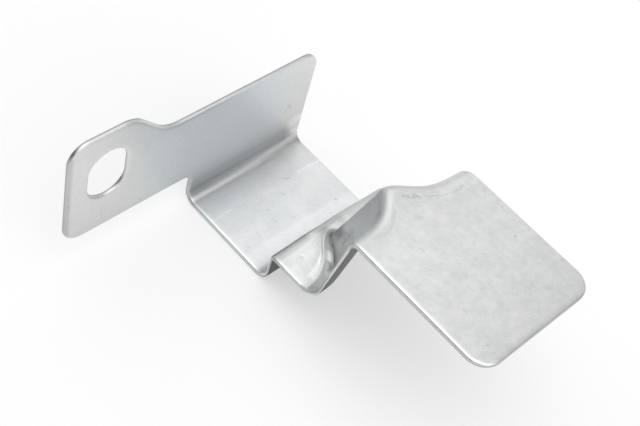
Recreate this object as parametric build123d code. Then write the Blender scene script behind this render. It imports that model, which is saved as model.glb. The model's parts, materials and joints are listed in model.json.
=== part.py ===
from build123d import *
import math
import os

# Stepped sheet-steel bracket, folded and pressed from one blank.
# Lengths in millimetres. Frame: origin at the centre of the mounting slot, on the
# outer face of the upright flange. +X runs from the flange along the strip to the
# plate, +Y runs across the strip away from the ear, +Z is up.

# ---- sheet ----
T = 1.2                    # sheet thickness
STRIP_W = 42.0             # width of the folded strip
CORNER_R = 6.0             # outside corners of the blank

# ---- slot and ear ----
SLOT_W = 12.0
SLOT_L = 17.0
EAR_LEFT = 12.5            # slot centre to the ear's free edge
EAR_TOP = 16.3             # slot centre up to the ear's top edge
EAR_BOTTOM = 21.4          # slot centre down to the ear's lower edge
EAR_TOP_END = 3.6          # slot centre to where the ear's top edge starts to drop
SHOULDER_R1 = 9.0          # convex arc of the shoulder
SHOULDER_R2 = 10.8         # concave arc of the shoulder
RELIEF_R = 3.0             # inside corner under the ear, beside the fold
FLANGE_TOP = 5.5           # slot centre up to the flange's top edge

# ---- strip, measured from the flange's inner face and the web's upper face ----
STRIP_Y0 = 30.0            # near edge of the strip, from the slot centre
WEB_Z = -31.5              # upper face of the web, from the slot centre
STEP_X = 33.2              # rear face of the small step
STEP_Z = 11.6              # upper face of the tread
WALL_X0 = 50.2             # foot of the tall wall, upper side, at the strip's edges
WALL_X1 = 55.1             # head of the tall wall, upper side, at the strip's near edge
PLATE_Z = 43.2             # upper face of the plate
PLATE_END = 100.1          # free end of the plate

# ---- bend radii on the sheet's upper side ----
R_FLANGE = 2.8             # flange to web, concave
R_STEP = 3.75              # web to step, concave
R_NOSE = 1.85              # step to tread, convex
R_HEAD = [(0, 3.0), (12.4, 4.4), (20.6, 5.3), (42, 5.1)]      # wall to plate, convex, along y
R_RAMP = [(0, 2.5), (10, 2.0), (14, 1.1), (18.2, 0.9), (24, 1.4), (30, 2.5), (42, 2.5)]
R_FOOT = [(0, 4.2), (12, 1.7), (20.6, 1.6), (30, 3.0), (42, 4.2)]

# ---- the nose of the step is pulled up in the middle by the pressing ----
BOW_NEAR, BOW_MID, BOW_FAR = -0.24, 1.2, 0.26

# ---- pressed rib across the tall wall, with a shallow ramp in front of its foot ----
RIB_Y = 20.6               # centre of the rib at the head, from the strip's near edge
RIB_FOOT_Y = 18.2          # centre of the rib at the foot
RIB_FOOT_D = 12.4          # how far the crest stands out at the foot
RIB_FOOT_W = 3.96
RIB_HEAD_D = 8.2           # how far the crest stands out at the head
RIB_HEAD_W = 4.3           # near flank
RIB_HEAD_W2 = 5.4          # far flank
HEAD_FAR = 0.75            # the head is drawn back a little at the far edge
RAMP_Z = 2.5               # height of the ramp
RAMP_X = 47.0              # start of the ramp at the strip's edges
RAMP_D, RAMP_W = 11.8, 4.65
THIN = 0.33                # thinning of the sheet at the near edge, at the foot of the wall

X_SPLIT = 29.0             # on the web: end of the plain fold, start of the pressed zone
X_JOIN = 66.0              # end of the pressed zone, start of the plain plate


def sech(v):
    return 1.0 / math.cosh(v)


def smooth(t):
    t = max(0.0, min(1.0, t))
    return t * t * (3 - 2 * t)


def table(rows, y):
    """Piecewise linear value at y."""
    for (y0, v0), (y1, v1) in zip(rows, rows[1:]):
        if y <= y1:
            return v0 + (v1 - v0) * (y - y0) / (y1 - y0)
    return rows[-1][1]


def corners(y):
    """Corner points of the upper side's section at width y."""
    e = sech(RIB_FOOT_Y / RIB_FOOT_W)
    foot = RIB_FOOT_D * (sech((y - RIB_FOOT_Y) / RIB_FOOT_W) - e) / (1 - e)
    w = RIB_HEAD_W if y <= RIB_Y else RIB_HEAD_W2
    e = sech(RIB_Y / RIB_HEAD_W)
    far = smooth((y - RIB_Y) / (STRIP_W - RIB_Y))
    head = RIB_HEAD_D * (sech((y - RIB_Y) / w) - e) / (1 - e) + HEAD_FAR * far
    xf, xh = WALL_X0 - foot, WALL_X1 - head
    if y <= RIB_Y:
        bow = BOW_NEAR + (BOW_MID - BOW_NEAR) * smooth(y / RIB_Y)
    else:
        bow = BOW_MID + (BOW_FAR - BOW_MID) * far
    x2 = xf + (xh - xf) * RAMP_Z / (PLATE_Z - STEP_Z)
    x1 = RAMP_X - RAMP_D * (sech((y - RIB_FOOT_Y) / RAMP_W) - sech(RIB_FOOT_Y / RAMP_W))
    low = STEP_X + R_NOSE + 0.25 * (x2 - STEP_X - R_NOSE)
    x1 = min(low + 1.2 * math.log1p(math.exp((x1 - low) / 1.2)), x2 - 0.8)
    return [(X_SPLIT, 0.0), (STEP_X, 0.0), (STEP_X, STEP_Z + bow), (x1, STEP_Z),
            (x2, STEP_Z + RAMP_Z), (xh, PLATE_Z), (X_JOIN, PLATE_Z)]


def under(y):
    """Corner points of the lower side: each stretch is T thick square to the real sheet."""
    up, d = corners(y), 0.01
    before, after = corners(y - d), corners(y + d)
    thin = 1 - THIN * math.exp(-(y / 6.0) ** 2)
    # share of the thinning at the two ends of each stretch
    ends = [(0, 0), (0, 0), (0, 1), (1, 1), (1, 0), (0, 0)]
    normals, thick = [], []
    for i in range(6):
        (x0, z0), (x1, z1) = up[i], up[i + 1]
        length = math.hypot(x1 - x0, z1 - z0)
        n = ((z1 - z0) / length, -(x1 - x0) / length)
        normals.append(n)
        pair = []
        for j, share in ((i, ends[i][0]), (i + 1, ends[i][1])):
            move = ((after[j][0] - before[j][0]) * n[0] + (after[j][1] - before[j][1]) * n[1]) / (2 * d)
            pair.append(T * math.hypot(1.0, move) * (1 + (thin - 1) * share))
        thick.append(pair)
    low = [(up[0][0], up[0][1] - T)]
    for i in range(1, 6):
        na, nb = normals[i - 1], normals[i]
        ta, tb = thick[i - 1][1], thick[i][0]
        det = na[0] * nb[1] - na[1] * nb[0]
        low.append((up[i][0] + (ta * nb[1] - tb * na[1]) / det,
                    up[i][1] + (na[0] * tb - nb[0] * ta) / det))
    low.append((up[6][0], up[6][1] - T))
    return low


def corner(p, q, s, r):
    """Tangent points and arc midpoint of a radius r in the corner p-q-s."""
    v1 = (p[0] - q[0], p[1] - q[1])
    v2 = (s[0] - q[0], s[1] - q[1])
    l1, l2 = math.hypot(*v1), math.hypot(*v2)
    v1 = (v1[0] / l1, v1[1] / l1)
    v2 = (v2[0] / l2, v2[1] / l2)
    half = math.acos(max(-1.0, min(1.0, v1[0] * v2[0] + v1[1] * v2[1]))) / 2
    d = r / math.tan(half)
    a = (q[0] + v1[0] * d, q[1] + v1[1] * d)
    b = (q[0] + v2[0] * d, q[1] + v2[1] * d)
    bis = (v1[0] + v2[0], v1[1] + v2[1])
    lb = math.hypot(*bis)
    c = (q[0] + bis[0] / lb * r / math.sin(half), q[1] + bis[1] / lb * r / math.sin(half))
    m = (c[0] - bis[0] / lb * r, c[1] - bis[1] / lb * r)
    return a, m, b


def place(p, y):
    """Section point (x from inner face, z from web) at strip width y, in the part frame."""
    return (p[0] + T, STRIP_Y0 + y, p[1] + WEB_Z)


def bent(points, radii, y):
    """Edges along a polyline of section points with a radius in each inner corner."""
    edges = []
    here = points[0]
    for i in range(1, len(points) - 1):
        a, m, b = corner(points[i - 1], points[i], points[i + 1], radii[i - 1])
        edges.append(Edge.make_line(place(here, y), place(a, y)))
        edges.append(Edge.make_three_point_arc(place(a, y), place(m, y), place(b, y)))
        here = b
    edges.append(Edge.make_line(place(here, y), place(points[-1], y)))
    return edges


def pressed_section(y):
    """Closed section of the sheet from the web to the plate at width y."""
    up, low = corners(y), under(y)
    r1, r2, rh = table(R_RAMP, y), table(R_FOOT, y), table(R_HEAD, y)
    edges = bent(up, [R_STEP, R_NOSE, r1, r2, rh], y)
    edges.append(Edge.make_line(place(up[-1], y), place(low[-1], y)))
    edges += bent(low[::-1], [rh - T, r2 + T * 0.9, r1 + T * 0.9, R_NOSE - T, R_STEP + T], y)
    edges.append(Edge.make_line(place(low[0], y), place(up[0], y)))
    return Face(Wire(edges))


# stations across the strip, closer together over the rib
stations = [0.0, 2.5, 5.0, 7.2, 9.0, 10.5, 11.8, 13.0, 14.0, 15.0, 15.9, 16.7, 17.5, 18.2, 19.0,
            19.8, 20.6, 21.6, 22.6, 23.7, 25.0, 26.5, 28.2, 30.0, 32.2, 35.0, 38.5, 42.0]
pressed = Solid.make_loft([pressed_section(y).outer_wire() for y in stations])

# ---- plain fold: flange and the start of the web ----
top = FLANGE_TOP - WEB_Z


def closed_fold():
    edges = []
    a1, m1, b1 = corner((0, top), (0, 0), (X_SPLIT, 0), R_FLANGE)
    c3, n3, d3 = corner((X_SPLIT, -T), (-T, -T), (-T, top), R_FLANGE + T)
    seq = [("l", (0, top), a1), ("a", a1, m1, b1), ("l", b1, (X_SPLIT, 0)),
           ("l", (X_SPLIT, 0), (X_SPLIT, -T)), ("l", (X_SPLIT, -T), c3), ("a", c3, n3, d3),
           ("l", d3, (-T, top)), ("l", (-T, top), (0, top))]
    for s in seq:
        pts = [place(p, 0) for p in s[1:]]
        edges.append(Edge.make_line(*pts) if s[0] == "l" else Edge.make_three_point_arc(*pts))
    return Face(Wire(edges))


folds = extrude(closed_fold(), amount=STRIP_W, dir=(0, 1, 0))

# ---- flange blank: ear, shoulder, relief and corners, cut as one outline ----
y1 = STRIP_Y0 + STRIP_W
k = math.sqrt(0.5)
sh_a = (EAR_TOP_END, EAR_TOP)
sh_b = (EAR_TOP_END + SHOULDER_R1 * k, EAR_TOP - SHOULDER_R1 * (1 - k))
drop = EAR_TOP - FLANGE_TOP
mid = drop - (SHOULDER_R1 + SHOULDER_R2) * (1 - k)
sh_c = (sh_b[0] + mid, sh_b[1] - mid)
sh_d = (sh_c[0] + SHOULDER_R2 * k, FLANGE_TOP)
c8, s8 = math.cos(math.pi / 8), math.sin(math.pi / 8)
R = CORNER_R
fold_line = WEB_Z + R_FLANGE     # the flange is flat above this height


def yz(y, z):
    return (T, y, z)


def arc(cy, cz, r, a0, a1):
    p = [yz(cy + r * math.cos(math.radians(a)), cz + r * math.sin(math.radians(a)))
         for a in (a0, (a0 + a1) / 2, a1)]
    return Edge.make_three_point_arc(*p)


def line(y0, z0, y1_, z1):
    return Edge.make_line(yz(y0, z0), yz(y1_, z1))


flange_outline = Wire([
    line(-EAR_LEFT, -EAR_BOTTOM + R, -EAR_LEFT, EAR_TOP - R),
    arc(-EAR_LEFT + R, EAR_TOP - R, R, 180, 90),
    line(-EAR_LEFT + R, EAR_TOP, sh_a[0], EAR_TOP),
    arc(EAR_TOP_END, EAR_TOP - SHOULDER_R1, SHOULDER_R1, 90, 45),
    line(*sh_b, *sh_c),
    arc(sh_d[0], FLANGE_TOP + SHOULDER_R2, SHOULDER_R2, 225, 270),
    line(*sh_d, y1 - R, FLANGE_TOP),
    arc(y1 - R, FLANGE_TOP - R, R, 90, 0),
    line(y1, FLANGE_TOP - R, y1, fold_line),
    line(y1, fold_line, STRIP_Y0, fold_line),
    line(STRIP_Y0, fold_line, STRIP_Y0, -EAR_BOTTOM - RELIEF_R),
    arc(STRIP_Y0 - RELIEF_R, -EAR_BOTTOM - RELIEF_R, RELIEF_R, 0, 90),
    line(STRIP_Y0 - RELIEF_R, -EAR_BOTTOM, -EAR_LEFT + R, -EAR_BOTTOM),
    arc(-EAR_LEFT + R, -EAR_BOTTOM + R, R, 270, 180),
])
flange = extrude(Face(flange_outline), amount=T, dir=(-1, 0, 0))
above = Box(3 * T, 200, 200, align=(Align.CENTER, Align.CENTER, Align.MIN)).moved(
    Location((T / 2, 0, fold_line)))
folds = (folds - above) + flange

# slot through the ear, long way up
slot = extrude(Plane.YZ * SlotOverall(SLOT_L, SLOT_W, rotation=90), amount=5 * T, both=True)
folds = folds - slot

# ---- plate beyond the pressed zone, with its two rounded corners ----
x_end = PLATE_END + T
plate = Box(x_end - (X_JOIN + T), STRIP_W, T, align=(Align.MIN, Align.MIN, Align.MAX)).moved(
    Location((X_JOIN + T, STRIP_Y0, WEB_Z + PLATE_Z)))
front = [e for e in plate.edges().filter_by(Axis.Z) if abs(e.center().X - x_end) < 0.01]
plate = fillet(front, CORNER_R)

bracket = folds + pressed + plate
bracket = bracket.solids()[0] if len(bracket.solids()) == 1 else bracket

os.makedirs("parts", exist_ok=True)
export_step(bracket, "parts/bracket.step")
print("solids", len(bracket.solids()), "valid", bracket.is_valid, "volume", round(bracket.volume, 2))
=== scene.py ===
import bpy
import json
import math
import numpy as np
from mathutils import Matrix, Vector
from mathutils.geometry import delaunay_2d_cdt

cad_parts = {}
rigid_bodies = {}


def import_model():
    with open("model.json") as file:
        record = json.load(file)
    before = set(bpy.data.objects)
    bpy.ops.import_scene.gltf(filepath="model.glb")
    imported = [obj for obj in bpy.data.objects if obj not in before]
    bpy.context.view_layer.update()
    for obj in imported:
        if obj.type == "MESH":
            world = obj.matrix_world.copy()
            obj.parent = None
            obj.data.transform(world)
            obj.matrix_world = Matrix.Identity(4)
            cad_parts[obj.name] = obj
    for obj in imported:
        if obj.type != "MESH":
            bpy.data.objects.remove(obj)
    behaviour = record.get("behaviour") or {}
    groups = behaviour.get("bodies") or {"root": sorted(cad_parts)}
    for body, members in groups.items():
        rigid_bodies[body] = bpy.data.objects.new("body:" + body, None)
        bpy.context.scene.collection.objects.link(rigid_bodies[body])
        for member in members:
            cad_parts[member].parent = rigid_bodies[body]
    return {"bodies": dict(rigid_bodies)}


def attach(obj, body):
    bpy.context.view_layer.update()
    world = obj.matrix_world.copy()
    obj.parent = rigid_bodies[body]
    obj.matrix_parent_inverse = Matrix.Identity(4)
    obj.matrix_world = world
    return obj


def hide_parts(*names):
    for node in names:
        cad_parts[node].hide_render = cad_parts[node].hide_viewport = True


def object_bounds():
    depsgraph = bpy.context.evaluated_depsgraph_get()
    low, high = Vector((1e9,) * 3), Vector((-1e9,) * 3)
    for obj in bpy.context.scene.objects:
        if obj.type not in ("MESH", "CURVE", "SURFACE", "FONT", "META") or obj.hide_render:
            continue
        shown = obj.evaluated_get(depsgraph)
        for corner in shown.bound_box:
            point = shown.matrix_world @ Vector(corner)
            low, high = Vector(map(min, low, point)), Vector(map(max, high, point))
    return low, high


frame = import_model()
CAD_BOX = [list(map(float, v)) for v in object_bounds()]
BODY = list(frame["bodies"])[0]

# ------------------------------------------------------------------ dimensions (mm)
T = 1.2
STRIP_W = 42.0
CORNER_R = 6.0
SLOT_W, SLOT_L = 12.0, 17.0
EAR_LEFT, EAR_TOP, EAR_BOTTOM, EAR_TOP_END = 12.5, 16.3, 21.4, 3.6
SHOULDER_R1, SHOULDER_R2, RELIEF_R, FLANGE_TOP = 9.0, 10.8, 3.0, 5.5
STRIP_Y0, WEB_Z = 30.0, -31.5
STEP_X, STEP_Z = 33.2, 11.6
WALL_X0, WALL_X1 = 50.2, 55.1
PLATE_Z, PLATE_END = 43.2, 100.1
R_FLANGE, R_STEP, R_NOSE = 2.8, 3.75, 1.85
R_HEAD = ([0, 12.4, 20.6, 42], [3.0, 4.4, 5.3, 5.1])
R_RAMP = ([0, 10, 14, 18.2, 24, 30, 42], [2.5, 2.0, 1.1, 0.9, 1.4, 2.5, 2.5])
R_FOOT = ([0, 12, 20.6, 30, 42], [4.2, 1.7, 1.6, 3.0, 4.2])
BOW_NEAR, BOW_MID, BOW_FAR = -0.24, 1.2, 0.26
RIB_Y, RIB_FOOT_Y = 20.6, 18.2
RIB_FOOT_D, RIB_FOOT_W = 12.4, 3.96
RIB_HEAD_D, RIB_HEAD_W, RIB_HEAD_W2, HEAD_FAR = 8.2, 4.3, 5.4, 0.75
RAMP_Z, RAMP_X, RAMP_D, RAMP_W = 2.5, 47.0, 11.8, 4.65
THIN = 0.33
X_SPLIT, X_JOIN = 29.0, 66.0
TOP = FLANGE_TOP - WEB_Z          # flange height above the web's upper face


# ------------------------------------------------------------------ the sheet's two sides
def sech(v):
    return 1.0 / np.cosh(v)


def smooth(t):
    t = np.clip(t, 0, 1)
    return t * t * (3 - 2 * t)


def corners(y):
    """Corner points of the upper side's section at each y, shape (7, n, 2)."""
    e = sech(RIB_FOOT_Y / RIB_FOOT_W)
    foot = RIB_FOOT_D * (sech((y - RIB_FOOT_Y) / RIB_FOOT_W) - e) / (1 - e)
    w = np.where(y <= RIB_Y, RIB_HEAD_W, RIB_HEAD_W2)
    e = sech(RIB_Y / RIB_HEAD_W)
    far = smooth((y - RIB_Y) / (STRIP_W - RIB_Y))
    head = RIB_HEAD_D * (sech((y - RIB_Y) / w) - e) / (1 - e) + HEAD_FAR * far
    xf, xh = WALL_X0 - foot, WALL_X1 - head
    bow = np.where(y <= RIB_Y, BOW_NEAR + (BOW_MID - BOW_NEAR) * smooth(y / RIB_Y),
                   BOW_MID + (BOW_FAR - BOW_MID) * far)
    x2 = xf + (xh - xf) * RAMP_Z / (PLATE_Z - STEP_Z)
    x1 = RAMP_X - RAMP_D * (sech((y - RIB_FOOT_Y) / RAMP_W) - sech(RIB_FOOT_Y / RAMP_W))
    low = STEP_X + R_NOSE + 0.25 * (x2 - STEP_X - R_NOSE)
    x1 = np.minimum(low + 1.2 * np.log1p(np.exp((x1 - low) / 1.2)), x2 - 0.8)
    o = np.ones_like(y)
    return np.stack([np.stack(p, -1) for p in (
        (X_SPLIT * o, 0 * o), (STEP_X * o, 0 * o), (STEP_X * o, STEP_Z + bow), (x1, STEP_Z * o),
        (x2, (STEP_Z + RAMP_Z) * o), (xh, PLATE_Z * o), (X_JOIN * o, PLATE_Z * o))])


def under(y):
    """Corner points of the lower side: each stretch is T thick square to the real sheet."""
    up, d = corners(y), 0.01
    step = (corners(y + d) - corners(y - d)) / (2 * d)
    thin = 1 - THIN * np.exp(-(y / 6.0) ** 2)
    ends = [(0, 0), (0, 0), (0, 1), (1, 1), (1, 0), (0, 0)]
    normals, thick = [], []
    for i in range(6):
        v = up[i + 1] - up[i]
        v = v / np.linalg.norm(v, axis=-1, keepdims=True)
        n = np.stack([v[:, 1], -v[:, 0]], -1)
        normals.append(n)
        pair = []
        for j, share in ((i, ends[i][0]), (i + 1, ends[i][1])):
            move = (step[j] * n).sum(-1)
            pair.append(T * np.hypot(1.0, move) * (1 + (thin - 1) * share))
        thick.append(pair)
    low = [up[0] - np.array([0, T])]
    for i in range(1, 6):
        na, nb = normals[i - 1], normals[i]
        ta, tb = thick[i - 1][1], thick[i][0]
        det = na[:, 0] * nb[:, 1] - na[:, 1] * nb[:, 0]
        low.append(up[i] + np.stack([(ta * nb[:, 1] - tb * na[:, 1]) / det,
                                     (na[:, 0] * tb - nb[:, 0] * ta) / det], -1))
    low.append(up[6] - np.array([0, T]))
    return np.stack(low)


def bends(points, radii):
    """Tangent points, centre and turn of the arc in each inner corner."""
    out = []
    for i in range(1, 6):
        a, b = points[i - 1] - points[i], points[i + 1] - points[i]
        a = a / np.linalg.norm(a, axis=-1, keepdims=True)
        b = b / np.linalg.norm(b, axis=-1, keepdims=True)
        half = np.arccos(np.clip((a * b).sum(-1), -1, 1)) / 2
        r = radii[i - 1]
        d = (r / np.tan(half))[:, None]
        bis = a + b
        bis = bis / np.linalg.norm(bis, axis=-1, keepdims=True)
        c = points[i] + bis * (r / np.sin(half))[:, None]
        out.append((points[i] + a * d, points[i] + b * d, c, math.pi - 2 * half))
    return out


def radii_at(y):
    one = np.ones_like(y)
    r1, r2, rh = (np.interp(y, *tab) for tab in (R_RAMP, R_FOOT, R_HEAD))
    up = [R_STEP * one, R_NOSE * one, r1, r2, rh]
    low = [(R_STEP + T) * one, (R_NOSE - T) * one, r1 + T * 0.9, r2 + T * 0.9, rh - T]
    return up, low


# blank coordinate s: length along the upper side at the near edge, 0 at the flange's top,
# down the flange, along the web, up the step, along the tread, up the wall, along the plate
S1 = TOP - R_FLANGE
S2 = S1 + R_FLANGE * math.pi / 2
S3 = S2 + X_SPLIT - R_FLANGE
_y0 = np.array([0.0])
_p0, _b0 = corners(_y0), bends(corners(_y0), radii_at(_y0)[0])
_lens, _here = [], _p0[0]
for _a, _b, _c, _turn in _b0:
    _lens.append(float(np.linalg.norm(_a - _here)))
    _lens.append(float(_turn[0] * np.linalg.norm(_a - _c)))
    _here = _b
_lens.append(float(np.linalg.norm(_p0[6] - _here)))
KNOTS = S3 + np.concatenate([[0.0], np.cumsum(_lens)])   # 12 values: ends of 11 stretches
S_JOIN = float(KNOTS[-1])
S_END = S_JOIN + PLATE_END - X_JOIN


def both_sides(s, y):
    """Upper and lower points (x from the flange's inner face, z from the web), each (n, 2)."""
    s, y = np.asarray(s, float), np.asarray(y, float)
    yc = np.clip(y, -1.0, STRIP_W + 1.0)
    up, lo = np.zeros(s.shape + (2,)), np.zeros(s.shape + (2,))

    def put(mask, out, px, pz):
        out[mask, 0], out[mask, 1] = px[mask], pz[mask]

    m = s <= S1
    put(m, up, 0 * s, TOP - s)
    put(m, lo, 0 * s - T, TOP - s)
    m = (s > S1) & (s <= S2)
    a = np.clip((s - S1) / R_FLANGE, 0, math.pi / 2)
    put(m, up, R_FLANGE * (1 - np.cos(a)), R_FLANGE * (1 - np.sin(a)))
    put(m, lo, R_FLANGE - (R_FLANGE + T) * np.cos(a), R_FLANGE - (R_FLANGE + T) * np.sin(a))
    m = (s > S2) & (s <= S3)
    put(m, up, R_FLANGE + s - S2, 0 * s)
    put(m, lo, R_FLANGE + s - S2, 0 * s - T)
    m = s > S_JOIN
    put(m, up, X_JOIN + s - S_JOIN, PLATE_Z + 0 * s)
    put(m, lo, X_JOIN + s - S_JOIN, PLATE_Z - T + 0 * s)

    m = (s > S3) & (s <= S_JOIN)
    if m.any():
        sm, ym = s[m], yc[m]
        rad = radii_at(ym)
        for out, pts, radii in ((up, corners(ym), rad[0]), (lo, under(ym), rad[1])):
            arcs = bends(pts, radii)
            res = np.zeros((len(sm), 2))
            here = pts[0]
            for i in range(11):
                k0, k1 = KNOTS[i], KNOTS[i + 1]
                sel = (sm > k0) & (sm <= k1)
                t = ((sm - k0) / (k1 - k0))[sel][:, None]
                if i % 2 == 0:
                    end = arcs[i // 2][0] if i < 10 else pts[6]
                    res[sel] = here[sel] + (end[sel] - here[sel]) * t
                else:
                    p, q, c, turn = arcs[i // 2]
                    turn = turn[sel][:, None]
                    w0, w1 = np.sin((1 - t) * turn) / np.sin(turn), np.sin(t * turn) / np.sin(turn)
                    res[sel] = c[sel] + (p[sel] - c[sel]) * w0 + (q[sel] - c[sel]) * w1
                    here = q
            out[m] = res
    return up, lo


# small dents, puckers and wrinkles the press left: line in (s, y), half width, height (mm)
RELIEF = [
    ([(88.6, 13.6), (90.2, 11.8), (90.8, 8.6), (91.1, 4.6)], 0.60, 0.045),     # lip round the tread
    ([(92.9, 14.4), (93.2, 13.0), (93.2, 11.2)], 0.50, 0.16),                  # pucker at the rib's foot
    ([(92.6, 9.6), (93.0, 7.6)], 0.45, 0.07),
    ([(94.6, 16.4), (94.3, 14.5), (94.5, 13.4), (94.2, 11.4)], 0.42, -0.17),   # fold line
    ([(98.6, 15.1), (102.0, 14.9), (105.4, 14.4)], 0.55, 0.12),                # wrinkles on the flank
    ([(100.0, 16.3), (104.5, 15.9)], 0.6, -0.10),
    ([(100.5, 13.4), (104.6, 13.2), (107.5, 13.9)], 0.6, -0.10),
    ([(107.0, 13.0), (110.5, 12.6)], 0.7, 0.07),
    ([(127.6, 16.4), (127.8, 13.4), (128.1, 10.6), (127.9, 8.6)], 0.40, -0.050),  # mark behind the bend
    ([(127.8, 21.0), (128.3, 22.2), (128.1, 24.0)], 0.42, -0.07),              # dent and scrape behind the bend
    ([(128.1, 24.0), (128.2, 29.0), (128.2, 33.6)], 0.30, -0.045),
    ([(128.3, 33.4), (128.3, 35.0), (127.7, 36.6)], 0.48, -0.06),
    ([(88.6, 7.6), (89.3, 9.2)], 0.5, -0.05),
    ([(83.4, 6.2), (84.5, 6.6)], 0.6, -0.04),
]


def near(line, s, y):
    """Squared distance from points (s, y) to a line through points."""
    best = np.full(np.shape(s), 1e9)
    for (a, b), (c, d) in zip(line[:-1], line[1:]):
        t = np.clip(((s - a) * (c - a) + (y - b) * (d - b)) / ((c - a) ** 2 + (d - b) ** 2), 0, 1)
        best = np.minimum(best, (s - a - t * (c - a)) ** 2 + (y - b - t * (d - b)) ** 2)
    return best


def relief(s, y):
    """Height of the dents and wrinkles above the plain sheet."""
    h = np.zeros(np.shape(s))
    for line, r, tall in RELIEF:
        h += tall * np.exp(-near(line, s, y) / r ** 2)
    return h


def sheet(s, y, w):
    """Points in the part's frame (mm) at depth w below the upper side; y from the near edge."""
    up, lo = both_sides(s, y)
    out = (up - lo) / np.linalg.norm(up - lo, axis=-1, keepdims=True)
    p = up + (lo - up) * (np.asarray(w, float) / T)[..., None] + out * relief(s, y)[..., None]
    return np.stack([p[..., 0] + T, STRIP_Y0 + np.asarray(y, float), p[..., 1] + WEB_Z], -1), up


# ------------------------------------------------------------------ outline of the blank, in (s, y)
def spacing(s):
    if S1 - 0.5 <= s <= S2 + 0.5:
        return 0.3
    if KNOTS[1] - 0.5 <= s <= KNOTS[2] + 0.5:
        return 0.35
    if KNOTS[3] - 0.4 <= s <= KNOTS[4] + 0.4:
        return 0.2
    return 0.4 if KNOTS[4] < s < KNOTS[10] + 3 else 0.7


def line_points(p, q):
    """Points from p up to but not including q."""
    p, q = np.array(p, float), np.array(q, float)
    length = np.linalg.norm(q - p)
    out, d = [], 0.0
    while d < length - 1e-6:
        out.append(d)
        here = p + (q - p) * d / length
        d += spacing(here[0])
    out = np.array(out) * (length / (out[-1] + (length - out[-1]) if len(out) > 1 else length))
    nrm = np.array([(q - p)[1], -(q - p)[0]]) / length
    return [(p + (q - p) * t / length, nrm) for t in out]


def arc_points(c, r, a0, a1, inside=1.0, step=0.35):
    """Points on an arc, not including its end; inside = 1 when the metal is on the centre's side."""
    n = max(6, int(abs(math.radians(a1 - a0)) * r / step))
    out = []
    for i in range(n):
        a = math.radians(a0 + (a1 - a0) * i / n)
        u = np.array([math.cos(a), math.sin(a)])
        out.append((np.array(c, float) + r * u, -u * inside))
    return out


def blank_outline():
    """Closed outline as (point, inward normal), points are (s, y)."""
    # flange point (Y from slot centre, Z up) is (s, y) = (FLANGE_TOP - Z, Y - STRIP_Y0)
    def b(yy, zz):
        return np.array([FLANGE_TOP - zz, yy - STRIP_Y0])

    y1 = STRIP_Y0 + STRIP_W
    k = math.sqrt(0.5)
    R = CORNER_R
    sh_b = (EAR_TOP_END + SHOULDER_R1 * k, EAR_TOP - SHOULDER_R1 * (1 - k))
    mid = EAR_TOP - FLANGE_TOP - (SHOULDER_R1 + SHOULDER_R2) * (1 - k)
    sh_c = (sh_b[0] + mid, sh_b[1] - mid)
    sh_dy = sh_c[0] + SHOULDER_R2 * k
    pts = []

    def add_line(p, q):
        for v, nrm in line_points(p, q):
            pts.append((v, nrm))

    def add_arc(cy, cz, r, a0, a1, inside=1.0):
        # angles in the (Y, Z) plane; s runs opposite to Z
        n = max(6, int(abs(math.radians(a1 - a0)) * r / 0.35))
        for i in range(n):
            a = math.radians(a0 + (a1 - a0) * i / n)
            v = b(cy + r * math.cos(a), cz + r * math.sin(a))
            pts.append((v, -inside * np.array([-math.sin(a), math.cos(a)])))

    # walk: ear left edge up, ear top, shoulder, flange top, far edge, plate end, near edge back
    add_line(b(-EAR_LEFT, -EAR_BOTTOM + R), b(-EAR_LEFT, EAR_TOP - R))
    add_arc(-EAR_LEFT + R, EAR_TOP - R, R, 180, 90)
    add_line(b(-EAR_LEFT + R, EAR_TOP), b(EAR_TOP_END, EAR_TOP))
    add_arc(EAR_TOP_END, EAR_TOP - SHOULDER_R1, SHOULDER_R1, 90, 45)
    add_line(b(*sh_b), b(*sh_c))
    add_arc(sh_dy, FLANGE_TOP + SHOULDER_R2, SHOULDER_R2, 225, 270, inside=-1.0)
    add_line(b(sh_dy, FLANGE_TOP), b(y1 - R, FLANGE_TOP))
    add_arc(y1 - R, FLANGE_TOP - R, R, 90, 0)
    add_line((R, STRIP_W), (S_END - R, STRIP_W))
    pts.extend(arc_points((S_END - R, STRIP_W - R), R, 90, 0))
    add_line((S_END, STRIP_W - R), (S_END, R))
    pts.extend(arc_points((S_END - R, R), R, 0, -90))
    s_relief = FLANGE_TOP + EAR_BOTTOM + RELIEF_R
    add_line((S_END - R, 0.0), (s_relief, 0.0))
    add_arc(STRIP_Y0 - RELIEF_R, -EAR_BOTTOM - RELIEF_R, RELIEF_R, 0, 90, inside=-1.0)
    add_line(b(STRIP_Y0 - RELIEF_R, -EAR_BOTTOM), b(-EAR_LEFT + R, -EAR_BOTTOM))
    add_arc(-EAR_LEFT + R, -EAR_BOTTOM + R, R, 270, 180)
    return fix_normals(pts)


def slot_outline():
    h = (SLOT_L - SLOT_W) / 2
    r = SLOT_W / 2
    pts = []
    c = np.array([FLANGE_TOP, -STRIP_Y0])
    n = 40
    for i in range(n):
        a = math.pi * i / n
        pts.append((c + np.array([h, 0]) + r * np.array([math.sin(a), math.cos(a)]), None))
    m = 14
    for i in range(m):
        pts.append((c + np.array([h - 2 * h * i / m, -r]), None))
    for i in range(n):
        a = math.pi + math.pi * i / n
        pts.append((c + np.array([-h, 0]) + r * np.array([math.sin(a), math.cos(a)]), None))
    for i in range(m):
        pts.append((c + np.array([-h + 2 * h * i / m, r]), None))
    return fix_normals(pts, hole=True)


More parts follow.
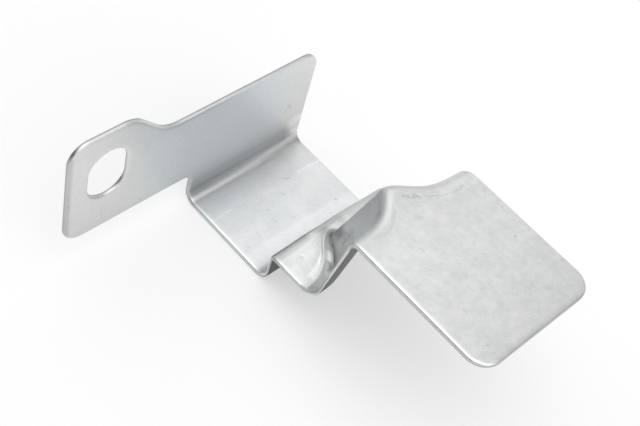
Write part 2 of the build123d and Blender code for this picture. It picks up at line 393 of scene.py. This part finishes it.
def fix_normals(pts, hole=False):
    """Inward normals (towards the metal) from the polygon itself."""
    v = np.array([p[0] for p in pts])
    keep = np.linalg.norm(v - np.roll(v, 1, 0), axis=1) > 1e-4
    v = v[keep]
    t = np.roll(v, -1, 0) - np.roll(v, 1, 0)
    area = 0.5 * np.sum(v[:, 0] * np.roll(v[:, 1], -1) - np.roll(v[:, 0], -1) * v[:, 1])
    nrm = np.stack([-t[:, 1], t[:, 0]], 1) / np.linalg.norm(t, axis=1)[:, None]
    if area < 0:
        nrm = -nrm
    if hole:
        nrm = -nrm
    return v, nrm


# cut edge: the upper arris is rolled over by the blanking, the lower one is nearly sharp
# (distance in from the outline, depth below the upper surface)
EDGE = [(1.70, 0.0), (1.05, 0.005), (0.78, 0.022), (0.59, 0.055), (0.43, 0.105), (0.29, 0.17), (0.18, 0.25),
        (0.09, 0.345), (0.03, 0.45), (0.0, 0.56), (0.0, 0.80), (0.0, T - 0.12), (0.02, T - 0.05),
        (0.06, T - 0.012), (0.12, T), (1.70, T)]
ROLLED = 10          # how many of these belong to the rolled arris


def rolled(s, y):
    """How strongly the arris is rolled over along the outline: less at the plate's end and the ear's side."""
    ends = np.maximum(smooth((s - S_END + 3.0) / 2.0), smooth((-41.5 - y) / 1.0))
    far = smooth((y - STRIP_W + 3.0) / 2.0)
    return 1.0 - 0.45 * ends - 0.25 * far * (1 - ends)


def build_sheet():
    verts, faces, where = [], [], []

    def add(points, s, y, w):
        start = len(verts)
        verts.extend(points.tolist())
        where.extend(np.stack([s, y, np.zeros(len(s)) + w], 1).tolist())
        return np.arange(start, start + len(points))

    loops = [blank_outline(), slot_outline()]
    upper_rings, lower_rings = [], []
    for k, (v, nrm) in enumerate(loops):
        rings = []
        f = rolled(v[:, 0], v[:, 1])
        for j, (d, w) in enumerate(EDGE):
            part = 0 < j < ROLLED
            q = v + nrm * (d * f[:, None] if part else d)
            w = w * f if part else np.full(len(q), w)
            p, _ = sheet(q[:, 0], q[:, 1], w)
            rings.append(add(p, q[:, 0], q[:, 1], w))
        area = np.sum(v[:, 0] * np.roll(v[:, 1], -1) - np.roll(v[:, 0], -1) * v[:, 1])
        flip = (area < 0) != (k == 1)
        for a, b in zip(rings[:-1], rings[1:]):
            a2, b2 = np.roll(a, -1), np.roll(b, -1)
            for i in range(len(a)):
                quad = [a[i], b[i], b2[i], a2[i]]
                faces.append(quad[::-1] if flip else quad)
        q = v + nrm * EDGE[0][0]
        upper_rings.append((q, rings[0]))
        lower_rings.append((q, rings[-1]))

    # interior points
    def grid(s0, s1, hs, y0, y1, hy):
        ns, ny = max(1, round((s1 - s0) / hs)), max(1, round((y1 - y0) / hy))
        ss = s0 + (np.arange(ns) + 0.5) * (s1 - s0) / ns
        yy = y0 + (np.arange(ny) + 0.5) * (y1 - y0) / ny
        g = np.stack(np.meshgrid(ss, yy, indexing="ij"), -1).reshape(-1, 2)
        return g

    bits = [
        grid(-10.8, S1 - 1.0, 1.5, -STRIP_Y0 - EAR_LEFT, STRIP_W, 1.5),
        grid(S1 - 1.0, S2 + 1.0, 0.28, 0, STRIP_W, 1.0),
        grid(S2 + 1.0, KNOTS[1] - 1.0, 1.4, 0, STRIP_W, 1.4),
        grid(KNOTS[1] - 1.0, KNOTS[2] + 0.6, 0.35, 0, STRIP_W, 1.0),
        grid(KNOTS[2] + 0.6, KNOTS[3] - 0.4, 0.6, 0, STRIP_W, 0.8),
        grid(KNOTS[3] - 0.4, KNOTS[4] + 0.4, 0.19, 0, STRIP_W, 0.6),
        grid(KNOTS[4] + 0.4, KNOTS[10] + 2.0, 0.38, 0, STRIP_W, 0.38),
        grid(KNOTS[10] + 2.0, S_END, 1.4, 0, STRIP_W, 1.4),
    ]
    pts = np.concatenate(bits)
    # keep those well inside the metal
    keep = np.ones(len(pts), bool)
    for k, (q, _) in enumerate(upper_rings):
        keep &= inside(pts, q) == (k == 0)
        keep &= far_from(pts, q, 0.16)
    pts = pts[keep]

    ring_pts = np.concatenate([q for q, _ in upper_rings])
    coords = [Vector((float(a), float(b_))) for a, b_ in np.concatenate([ring_pts, pts])]
    edges, start = [], 0
    for q, _ in upper_rings:
        n = len(q)
        edges += [(start + i, start + (i + 1) % n) for i in range(n)]
        start += n
    out = delaunay_2d_cdt(coords, edges, [], 0, 1e-6)
    o_verts, o_faces, orig = out[0], out[2], out[3]
    # index of each output vertex in the mesh, on the upper and on the lower side
    up_id = np.concatenate([i for _, i in upper_rings])
    lo_id = np.concatenate([i for _, i in lower_rings])
    n_ring = len(ring_pts)
    co = np.array([[c[0], c[1]] for c in o_verts])
    is_ring = np.array([min(o) < n_ring if len(o) else False for o in orig])
    src = np.array([min(o) if len(o) else -1 for o in orig])
    new = ~is_ring
    pu, _ = sheet(co[new, 0], co[new, 1], np.zeros(new.sum()))
    pl, _ = sheet(co[new, 0], co[new, 1], np.full(new.sum(), T))
    iu, il = np.zeros(len(co), int), np.zeros(len(co), int)
    iu[new] = add(pu, co[new, 0], co[new, 1], 0.0)
    il[new] = add(pl, co[new, 0], co[new, 1], T)
    iu[is_ring], il[is_ring] = up_id[src[is_ring]], lo_id[src[is_ring]]
    tri = np.array([f for f in o_faces if len(f) == 3])
    cen = co[tri].mean(1)
    ok = inside(cen, upper_rings[0][0]) & ~inside(cen, upper_rings[1][0])
    for t in tri[ok]:
        a, b_, c = co[t[0]], co[t[1]], co[t[2]]
        ccw = (b_[0] - a[0]) * (c[1] - a[1]) - (b_[1] - a[1]) * (c[0] - a[0]) > 0
        t = t if ccw else t[::-1]
        faces.append([iu[t[0]], iu[t[1]], iu[t[2]]])
        faces.append([il[t[2]], il[t[1]], il[t[0]]])
    return np.array(verts) / 1000.0, faces, np.array(where)


def inside(p, poly):
    """Even-odd test of points against a closed polygon."""
    res = np.zeros(len(p), bool)
    a, b = poly, np.roll(poly, -1, 0)
    for (x1, y1), (x2, y2) in zip(a, b):
        if y1 == y2:
            continue
        hit = (y1 > p[:, 1]) != (y2 > p[:, 1])
        res ^= hit & (p[:, 0] < (x2 - x1) * (p[:, 1] - y1) / (y2 - y1) + x1)
    return res


def far_from(p, poly, d):
    ok = np.ones(len(p), bool)
    for x, y in poly:
        ok &= (p[:, 0] - x) ** 2 + (p[:, 1] - y) ** 2 > d * d
    return ok


verts, faces, blank_pos = build_sheet()
mesh = bpy.data.meshes.new("bracket_sheet")
mesh.from_pydata([tuple(v) for v in verts], [], [tuple(int(i) for i in f) for f in faces])
mesh.validate()
mesh.update()
for p in mesh.polygons:
    p.use_smooth = True
sheet_obj = bpy.data.objects.new("bracket_sheet", mesh)
bpy.context.scene.collection.objects.link(sheet_obj)
print("mesh", len(mesh.vertices), len(mesh.polygons))


# ------------------------------------------------------------------ material
# small scars and specks on the upper side, and painted shade and painted highlights on the dents behind the plate's
# fold, the fold line, wrinkles and puckers, in blank coordinates (mm):
# points of the line, half width, strength (positive bright, negative dark)
SCARS_AND_PAINTED_SHADE = [
    ([(46.4, 1.0), (46.0, 7.2)], 0.22, 0.55),
    ([(45.8, 11.5), (45.8, 15.5)], 0.14, 0.16),
    ([(45.9, 17.0), (46.0, 22.0)], 0.14, 0.22),
    ([(46.1, 33.0), (46.5, 37.0), (46.6, 41.2)], 0.20, 0.55),
    ([(47.5, 4.6), (46.3, 7.6)], 0.13, 0.30),
    ([(45.3, 3.0), (44.6, 5.4)], 0.11, 0.25),
    ([(45.9, 28.0), (46.6, 29.3)], 0.35, -0.14),
    ([(50.1, 24.1), (50.6, 24.4)], 0.26, -0.21),
    ([(60.2, 35.8), (60.5, 36.0)], 0.26, -0.26),
    ([(51.9, 16.6), (52.5, 16.9)], 0.24, -0.15),
    ([(55.5, 15.2), (56.6, 16.0)], 0.3, -0.12),
    ([(57.9, 20.4), (58.4, 21.6)], 0.22, -0.10),
    ([(56.2, 8.8), (58.6, 8.5)], 0.26, -0.10),
    ([(58.4, 3.2), (58.8, 3.6)], 0.3, -0.11),
    ([(55.2, 29.4), (55.5, 29.8)], 0.2, -0.12),
    ([(20.9, 33.5), (18.6, 34.5), (20.3, 35.8)], 0.30, -0.15),
    ([(18.3, 34.0), (17.9, 35.2)], 0.2, -0.12),
    ([(24.6, -18.2), (24.9, -17.7)], 0.45, -0.10),
    ([(10.6, -41.8), (11.3, -41.7)], 0.4, -0.12),
    ([(17.6, -31.2), (23.8, -30.5)], 0.22, -0.07),
    ([(13.8, 38.3), (14.4, 38.5)], 0.3, -0.10),
    ([(33.2, 36.2), (33.5, 36.8)], 0.25, -0.15),
    ([(133.4, 13.2), (133.8, 13.3)], 0.28, -0.14),
    ([(135.8, 12.9), (136.9, 12.8)], 0.30, -0.12),
    ([(143.1, 4.6), (143.6, 3.6)], 0.4, -0.09),
    ([(154.6, 9.0), (155.1, 9.1)], 0.5, -0.10),
    ([(162.6, 31.6), (163.0, 32.0)], 0.7, -0.10),
    ([(147.0, 36.0), (147.6, 36.5)], 0.24, -0.21),
    ([(138.7, 40.2), (139.9, 39.9)], 0.16, -0.21),
    ([(144.6, 40.7), (145.4, 40.3), (146.4, 40.8)], 0.13, -0.14),
    ([(145.0, 39.6), (146.6, 39.9)], 0.12, 0.14),
    ([(164.4, 6.3), (164.8, 6.4)], 0.32, -0.16),
    ([(166.7, 6.0), (167.0, 6.3)], 0.22, -0.15),
    ([(163.9, 18.4), (164.4, 19.4)], 0.5, -0.06),
    ([(151.4, 36.8), (153.6, 38.1)], 0.36, -0.06),
    ([(131.8, 19.4), (132.0, 19.8)], 0.25, -0.10),
    # painted shade in the dents and scrape behind the plate's fold
    ([(127.7, 20.8), (128.3, 22.2), (128.1, 24.0)], 0.42, -0.22),
    ([(128.1, 24.0), (128.2, 29.0), (128.2, 33.6)], 0.24, -0.13),
    ([(128.3, 33.4), (128.3, 35.0), (127.7, 36.6)], 0.46, -0.18),
    ([(127.6, 15.6), (127.9, 12.8), (128.0, 9.4)], 0.34, -0.08),
    # painted shade along the fold line, painted shade and painted highlights along the wrinkles on the flank
    ([(94.3, 15.0), (94.6, 13.4), (94.3, 11.6)], 0.26, -0.45),
    ([(99.2, 16.7), (104.2, 15.6)], 0.70, -0.14),
    ([(99.4, 15.1), (104.4, 14.7)], 0.34, 0.30),
    ([(101.5, 14.0), (107.2, 14.2)], 0.36, -0.16),
    ([(104.6, 13.0), (110.6, 13.2)], 0.34, 0.16),
    # painted shade in the puckers and dents round the tread and the foot
    ([(93.4, 8.4), (94.0, 10.0)], 0.30, -0.16),
    ([(90.2, 0.35), (91.5, 0.5)], 0.30, -0.40),
    ([(83.6, 6.3), (84.3, 6.5)], 0.30, -0.12),
    ([(86.6, 8.2), (87.4, 8.8), (88.6, 8.5)], 0.24, -0.12),
    ([(88.2, 9.6), (89.2, 9.3)], 0.2, -0.10),
]

# darker and brighter patches of painted shade and painted highlights on the pressed shapes, folds, edges and flange,
# tuned: s from, to, y from, to, softness in s and y, factor
PAINTED_SHADE_AND_HIGHLIGHT_PATCHES = [
    (77.9, 79.9, -2, 12.5, 0.5, 2.5, 0.74), (79.6, 81.2, -2, 12.5, 0.7, 2.5, 0.83),
    (78.4, 79.8, 14, 45, 0.5, 2.5, 0.90), (84.0, 90.8, -2, 3.6, 1.2, 1.0, 1.07),
    (89.2, 91.6, 4.0, 11.6, 0.6, 1.6, 1.20), (84.0, 88.4, 8.6, 15.0, 1.4, 1.2, 1.05),
    (79.0, 92.6, 16.6, 24.5, 1.5, 3.0, 0.70), (93.4, 97.2, 8.6, 18.4, 0.5, 1.2, 0.64),
    (92.6, 93.8, 11.0, 13.2, 0.5, 0.9, 1.72), (91.8, 97.5, -2, 2.6, 1.6, 2.0, 0.88),
    (97.0, 109.0, 10.8, 15.2, 1.4, 1.0, 0.82), (96.8, 102.6, 15.0, 18.4, 3.0, 0.8, 0.64),
    (104.0, 120.0, 8.8, 18.6, 2.4, 1.0, 1.14), (97.5, 106.0, -2, 3.6, 1.2, 0.8, 0.64),
    (108.0, 120.5, -2, 5.0, 1.5, 1.5, 1.08), (120.5, 124.5, 6.5, 11.0, 1.5, 2.0, 0.90),
    (119.5, 125.0, 13.5, 19.5, 2.0, 2.0, 1.09), (53.0, 60.0, -2, 12.0, 3.0, 4.0, 1.03),
    (128.6, 135.0, -2, 24.0, 2.5, 4.0, 1.03),
    (26.0, 35.0, 37.0, 45.0, 2.5, 2.5, 1.27), (60.4, 64.6, -2, 45, 1.2, 2.0, 1.10),
    (168.9, 175.0, -2, 45, 1.2, 1.0, 0.70), (-20.0, 40.0, -50.0, -41.3, 5.0, 1.0, 0.76),
    (44.0, 62.0, 26.0, 45.0, 3.0, 8.0, 0.94), (122.0, 129.0, 30.0, 45.0, 2.0, 4.0, 1.10),
    (35.6, 46.0, 32.0, 45.0, 1.5, 4.0, 0.955),
]


# painted highlight and painted shade lines along the flange's fold, tuned: line in (s, y), half width, change
PAINTED_FOLD_LINES = [
    ([(37.3, -1.0), (37.2, 16.0)], 0.32, 0.17),
    ([(37.2, 16.0), (36.4, 27.0), (35.3, 42.0)], 0.45, 0.12),
    ([(38.6, -1.0), (38.1, 12.0)], 0.45, -0.07),
    ([(38.1, 12.0), (37.9, 27.0)], 0.42, -0.13),
    ([(37.9, 27.0), (37.0, 42.0)], 0.62, -0.22),
    ([(34.7, -1.0), (34.6, 20.0)], 0.50, -0.02),
]


# reflectance of the upper side with the painted shade and painted highlights of the fold lines and patches multiplied
# in
def reflectance_and_painted_light_at(s, y):
    v = np.interp(s, *zip(*REFLECTANCE_WITH_PAINTED_SHADE))
    for line, r, k in PAINTED_FOLD_LINES:
        v *= 1 + k * np.exp(-near(line, s, y) / r ** 2)
    for s0, s1, y0, y1, fs, fy, k in PAINTED_SHADE_AND_HIGHLIGHT_PATCHES:
        w = (smooth((s - s0) / fs + 0.5) * smooth((s1 - s) / fs + 0.5)
             * smooth((y - y0) / fy + 0.5) * smooth((y1 - y) / fy + 0.5))
        v *= 1 + (k - 1) * w
    return v


# reflectance along the blank, tuned against the picture: (s, value)
# painted shade and painted highlights: darker down the flange towards its fold, light and dark bands in the folds,
# darker over the step's nose and along the wall
REFLECTANCE_WITH_PAINTED_SHADE = [(-11, 0.74), (3, 0.72), (13, 0.685), (23, 0.645), (28, 0.57), (31, 0.48), (33.4, 0.565), (35, 0.52),
         (38, 0.55), (39, 0.73), (40, 0.76), (44, 0.85), (46.5, 0.90), (55, 0.90), (60, 0.88), (64, 0.80),
         (72, 0.66), (79, 0.66), (81.5, 0.78), (85, 0.81), (90, 0.80), (92, 0.60), (100, 0.56), (118, 0.56),
         (122, 0.63), (124.4, 0.585), (126.2, 0.69), (127.6, 0.76), (136, 0.82), (150, 0.80), (164, 0.765), (170, 0.73)]


# painted shade: the lower side is darker than the upper side, and darker still in the pressed zone towards the near
# edge
def painted_underside_shade_at(s, y):
    """The lower side. The only strips of it in the picture are dark, so it is dark there; the fade is a guess."""
    pressed = smooth((s - 62.0) / 8.0) * smooth((128.0 - s) / 6.0) * smooth((27.0 - y) / 19.0)
    return 0.56 - 0.42 * pressed


# the sheared face is darker than the plating; its brightening along the wall is a painted highlight
def sheared_face_and_highlight_at(s):
    """The sheared face, brighter along the wall, as in the picture."""
    return 0.40 + 0.26 * smooth((s - 91.5) / 2.0) * smooth((122.5 - s) / 2.0)


class Nodes:
    """Short hand for building a node tree."""

    def __init__(self, tree):
        self.tree = tree

    def new(self, kind, **props):
        node = self.tree.nodes.new(kind)
        for k, v in props.items():
            setattr(node, k, v)
        return node

    def put(self, socket, value):
        if hasattr(value, "is_linked"):
            self.tree.links.new(value, socket)
        elif value is not None:
            socket.default_value = value

    def math(self, op, a, b=None, c=None, clamp=False):
        node = self.new("ShaderNodeMath", operation=op, use_clamp=clamp)
        for i, v in enumerate((a, b, c)):
            self.put(node.inputs[i], v)
        return node.outputs[0]

    def vec(self, op, a, b=None, scale=None):
        node = self.new("ShaderNodeVectorMath", operation=op)
        self.put(node.inputs[0], a)
        if b is not None:
            self.put(node.inputs[1], b)
        if scale is not None:
            self.put(node.inputs["Scale"], scale)
        return node.outputs["Value" if op in ("DOT_PRODUCT", "LENGTH", "DISTANCE") else "Vector"]

    def map(self, v, a, b, c=0.0, d=1.0, kind="SMOOTHSTEP"):
        node = self.new("ShaderNodeMapRange", interpolation_type=kind)
        for i, x in enumerate((v, a, b, c, d)):
            self.put(node.inputs[i], x)
        return node.outputs[0]

    def noise(self, where, scale, detail=3.0, rough=0.5, stretch=None):
        if stretch:
            where = self.vec("MULTIPLY", where, stretch)
        node = self.new("ShaderNodeTexNoise")
        self.put(node.inputs["Vector"], where)
        node.inputs["Scale"].default_value = scale
        node.inputs["Detail"].default_value = detail
        node.inputs["Roughness"].default_value = rough
        return node.outputs["Fac"]

    def mix(self, fac, a, b, blend="MIX"):
        node = self.new("ShaderNodeMix", data_type="RGBA", blend_type=blend)
        self.put(node.inputs["Factor"], fac)
        for i, v in ((6, a), (7, b)):
            self.put(node.inputs[i], v if hasattr(v, "is_linked") else (*v, 1))
        return node.outputs[2]

    def segment(self, where, p, q, r):
        """1 on the line from p to q, fading to 0 at distance r from it."""
        d = Vector((q[0] - p[0], q[1] - p[1], 0))
        rel = self.vec("SUBTRACT", where, Vector((p[0], p[1], 0)))
        t = self.math("MULTIPLY", self.vec("DOT_PRODUCT", rel, d), 1.0 / max(d.length_squared, 1e-6), clamp=True)
        off = self.vec("SUBTRACT", rel, self.vec("SCALE", d, scale=t))
        return self.map(self.vec("LENGTH", off), 0.35 * r, r, 1.0, 0.0)


def zinc(name, lo, hi):
    """The plating, with the scars and the painted shade marks whose s lies between lo and hi."""
    mat = bpy.data.materials.new(name)
    mat.use_nodes = True
    nt = mat.node_tree
    n = Nodes(nt)
    bsdf = nt.nodes["Principled BSDF"]
    bsdf.inputs["Metallic"].default_value = 1.0
    place = n.new("ShaderNodeTexCoord").outputs["Object"]
    blank = n.new("ShaderNodeAttribute", attribute_name="blank").outputs["Vector"]
    sep = n.new("ShaderNodeSeparateXYZ")
    n.put(sep.inputs[0], blank)
    s, y, depth = sep.outputs
    top = n.math("LESS_THAN", depth, 0.5)
    wobble = n.new("ShaderNodeTexNoise")
    n.put(wobble.inputs["Vector"], place)
    wobble.inputs["Scale"].default_value = 1100.0
    wobble.inputs["Detail"].default_value = 2.0
    shift = n.vec("MULTIPLY", n.vec("SUBTRACT", wobble.outputs["Color"], (0.5, 0.5, 0.5)), (1.3, 1.3, 0))
    flat = n.vec("ADD", n.vec("MULTIPLY", blank, (1, 1, 0)), shift)

    # slow change along the sheet, which holds the painted shade and painted highlights, then the plating's mottle at
    # three sizes
    tone_with_painted_shade = n.new("ShaderNodeAttribute", attribute_name="tone_with_painted_shade").outputs["Fac"]
    cloud = n.noise(place, 170.0, 4.0, 0.6)
    mottle = n.noise(place, 620.0, 4.0, 0.65)
    grain = n.noise(place, 2600.0, 3.0, 0.6)
    drawn = n.noise(place, 900.0, 3.0, 0.6, (1.0, 0.16, 1.0))
    tone = n.math("MULTIPLY_ADD", n.math("SUBTRACT", cloud, 0.5), 0.09, 1.0)
    tone = n.math("MULTIPLY_ADD", n.math("SUBTRACT", mottle, 0.5), 0.16, tone)
    tone = n.math("MULTIPLY_ADD", n.math("SUBTRACT", grain, 0.5), 0.22, tone)
    tone = n.math("MULTIPLY_ADD", n.math("SUBTRACT", drawn, 0.5), 0.06, tone)
    # scattered specks where the plating is thin
    cells = n.new("ShaderNodeTexVoronoi", feature="F1")
    n.put(cells.inputs["Vector"], place)
    cells.inputs["Scale"].default_value = 230.0
    size = n.map(n.noise(place, 95.0, 1.0), 0.46, 0.72, 0.0, 0.085, kind="LINEAR")
    speck = n.map(cells.outputs["Distance"], n.math("MULTIPLY", size, 0.4), n.math("ADD", size, 0.001), 1.0, 0.0)
    tone = n.math("MULTIPLY_ADD", speck, -0.13, tone)
    # scars, and painted shade and painted highlights on dents, the fold line and wrinkles
    bright, dark = None, None
    for line, r, power in SCARS_AND_PAINTED_SHADE:
        if not lo < line[0][0] <= hi:
            continue
        for p, q in zip(line[:-1], line[1:]):
            m = n.math("MULTIPLY", n.segment(flat, p, q, r * 1.5), abs(power))
            if power > 0:
                bright = m if bright is None else n.math("MAXIMUM", bright, m)
            else:
                dark = m if dark is None else n.math("MAXIMUM", dark, m)
    if bright is not None:
        broken = n.map(n.noise(place, 1500.0, 2.0), 0.38, 0.56, 0.25, 1.0)
        bright = n.math("MULTIPLY", n.math("MULTIPLY", bright, broken), top)
    dark = n.math("MULTIPLY", n.math("MULTIPLY", dark, n.map(grain, 0.3, 0.55, 0.6, 1.0)), top)
    tone = n.math("MULTIPLY", tone, n.math("SUBTRACT", 1.0, dark))
    if bright is not None:
        tone = n.math("MULTIPLY_ADD", bright, 0.35, tone)
    scar_and_shade_mask = dark if bright is None else n.math("MAXIMUM", bright, dark)

    # passivate: bluish in the middle of the flange, close to neutral towards its ends and on the plate
    mid = n.math("MULTIPLY", n.map(y, -30.0, -6.0), n.map(y, 24.0, 40.0, 1.0, 0.0))
    on_flange = n.map(s, 32.0, 44.0, 1.0, 0.0)
    tint = n.mix(n.math("MULTIPLY", mid, on_flange), (0.985, 0.995, 0.985), (0.945, 0.995, 1.03))
    tint = n.mix(n.map(s, 34.0, 40.0), tint, (0.978, 1.0, 1.008))
    tint = n.mix(n.map(s, 64.0, 80.0), tint, (0.980, 1.0, 0.990))
    tint = n.mix(n.math("MULTIPLY", n.map(cloud, 0.45, 0.7), 0.5), tint, (1.0, 0.99, 0.99))
    tint = n.mix(n.math("MULTIPLY", n.map(mottle, 0.5, 0.8), 0.5), tint, (0.975, 1.0, 0.985))
    tone = n.math("MINIMUM", n.math("MULTIPLY", tone, tone_with_painted_shade), 0.98)
    grey = n.new("ShaderNodeCombineColor")
    for i in range(3):
        n.put(grey.inputs[i], tone)
    colour = n.mix(1.0, tint, grey.outputs[0], "MULTIPLY")
    low = n.map(depth, T - 0.22, T - 0.04)
    n.put(bsdf.inputs["Base Color"], colour)

    rough = n.math("MULTIPLY_ADD", n.math("SUBTRACT", mottle, 0.5), 0.16, 0.40)
    rough = n.math("MULTIPLY_ADD", n.math("SUBTRACT", cloud, 0.5), 0.12, rough)
    rough = n.math("MULTIPLY_ADD", scar_and_shade_mask, 0.25, rough)
    rough = n.math("MULTIPLY_ADD", low, 0.12, rough)
    n.put(bsdf.inputs["Roughness"], rough)

    height = n.math("MULTIPLY", n.math("SUBTRACT", grain, 0.5), 0.35)
    height = n.math("MULTIPLY_ADD", n.math("SUBTRACT", mottle, 0.5), 1.0, height)
    height = n.math("MULTIPLY_ADD", n.math("SUBTRACT", cloud, 0.5), 1.6, height)
    height = n.math("MULTIPLY_ADD", speck, -0.6, height)
    height = n.math("MULTIPLY_ADD", scar_and_shade_mask, -1.2, height)
    bump = n.new("ShaderNodeBump")
    bump.inputs["Strength"].default_value = 0.6
    bump.inputs["Distance"].default_value = 0.00003
    n.put(bump.inputs["Height"], height)
    n.put(bsdf.inputs["Normal"], bump.outputs[0])
    return mat


# per point: reflectance of the upper side, the sheared face and the lower side, with the painted shade and painted
# highlights in it
tone_with_painted_shade_attr = mesh.attributes.new("tone_with_painted_shade", "FLOAT", "POINT")
s_of, y_of, depth_of = np.asarray(blank_pos).T
tone_with_painted_shade = np.where(depth_of < 0.62, reflectance_and_painted_light_at(s_of, y_of), np.where(depth_of < T - 0.09, sheared_face_and_highlight_at(s_of), painted_underside_shade_at(s_of, y_of)))
tone_with_painted_shade_attr.data.foreach_set("value", tone_with_painted_shade.astype(np.float32))
blank_at = mesh.attributes.new("blank", "FLOAT_VECTOR", "POINT")
blank_at.data.foreach_set("vector", np.asarray(blank_pos, np.float32).ravel())
ZONES = [("flange", -20.0, 38.0), ("web", 38.0, 70.0), ("pressing", 70.0, 122.0), ("plate", 122.0, 200.0)]
for name, lo, hi in ZONES:
    mesh.materials.append(zinc("zinc_" + name, lo, hi))
s_of = np.array([np.mean([blank_pos[v][0] for v in p.vertices]) for p in mesh.polygons])
zone_of = np.searchsorted([z[2] for z in ZONES], s_of).astype(np.int32)
mesh.polygons.foreach_set("material_index", zone_of)
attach(sheet_obj, BODY)
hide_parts("bracket")


# ------------------------------------------------------------------ floor, light, camera
def plain(name, colour, rough, glow):
    mat = bpy.data.materials.new(name)
    mat.use_nodes = True
    b = mat.node_tree.nodes["Principled BSDF"]
    b.inputs["Base Color"].default_value = colour
    b.inputs["Roughness"].default_value = rough
    b.inputs["Specular IOR Level"].default_value = 0.0
    b.inputs["Emission Color"].default_value = (1, 1, 1, 1)
    b.inputs["Emission Strength"].default_value = glow
    return mat


z_floor = CAD_BOX[0][2]
bpy.ops.mesh.primitive_plane_add(size=8.0, location=(0.05, 0.03, z_floor))
floor = bpy.context.object
floor.name = "floor"
floor.data.materials.append(plain("pale_floor", (0.47, 0.47, 0.47, 1), 1.0, 0.49))

world = bpy.data.worlds.new("studio")
bpy.context.scene.world = world
world.use_nodes = True
wt = world.node_tree
bg = wt.nodes["Background"]
coord = wt.nodes.new("ShaderNodeTexCoord")
total = None
# soft patches of light on the studio's walls and ceiling: direction and strength
PATCHES = [
    ((0.951, 0.0, 0.309), 1.48),
    ((0.672, 0.672, 0.309), 0.55),
    ((0.0, 0.951, 0.309), 0.60),
    ((-0.672, 0.672, 0.309), 0.73),
    ((-0.951, 0.0, 0.309), 0.50),
    ((-0.417, 0.523, 0.743), 0.31),
    ((-0.669, 0.0, 0.743), 0.99),
    ((-0.417, -0.523, 0.743), 0.49),
    ((0.603, -0.290, 0.743), 0.81),
    ((0.174, 0.0, 0.985), 2.10),
]
for d, strength in PATCHES:
    d = Vector(d).normalized()
    dot = wt.nodes.new("ShaderNodeVectorMath")
    dot.operation = "DOT_PRODUCT"
    dot.inputs[1].default_value = d
    wt.links.new(coord.outputs["Generated"], dot.inputs[0])
    ramp = wt.nodes.new("ShaderNodeMapRange")
    ramp.interpolation_type = "SMOOTHSTEP"
    ramp.inputs["From Min"].default_value = 0.72
    ramp.inputs["From Max"].default_value = 1.0
    ramp.inputs["To Min"].default_value = 0.0
    ramp.inputs["To Max"].default_value = strength
    wt.links.new(dot.outputs["Value"], ramp.inputs["Value"])
    if total is None:
        total = ramp.outputs["Result"]
        continue
    add = wt.nodes.new("ShaderNodeMath")
    add.operation = "ADD"
    wt.links.new(total, add.inputs[1])
    wt.links.new(ramp.outputs["Result"], add.inputs[0])
    total = add.outputs[0]
wt.links.new(total, bg.inputs["Strength"])
bg.inputs["Color"].default_value = (0.8, 0.8, 0.8, 1)
# behind the floor's far edge the studio is as pale as the floor
pale = wt.nodes.new("ShaderNodeBackground")
pale.inputs["Color"].default_value = (0.95, 0.95, 0.95, 1)
pick = wt.nodes.new("ShaderNodeMixShader")
wt.links.new(wt.nodes.new("ShaderNodeLightPath").outputs["Is Camera Ray"], pick.inputs["Fac"])
wt.links.new(bg.outputs[0], pick.inputs[1])
wt.links.new(pale.outputs[0], pick.inputs[2])
wt.links.new(pick.outputs[0], wt.nodes["World Output"].inputs["Surface"])

cam_data = bpy.data.cameras.new("camera")
cam = bpy.data.objects.new("camera", cam_data)
bpy.context.scene.collection.objects.link(cam)
right = Vector((0.66167, 0.72223, 0.20145))
up = Vector((-0.66784, 0.44552, 0.59624))
fwd = Vector((-0.34087, 0.52905, -0.77712))
m = Matrix((right, up, -fwd)).transposed().to_4x4()
m.translation = Vector((0.14754, -0.12894, 0.24389))
cam.matrix_world = m
cam_data.sensor_fit = "HORIZONTAL"
cam_data.sensor_width = 36.0
cam_data.lens = 69.258
cam_data.clip_start = 0.01
cam_data.clip_end = 20
bpy.context.scene.camera = cam

bpy.context.scene.view_settings.view_transform = "Standard"
bpy.context.scene.view_settings.look = "None"
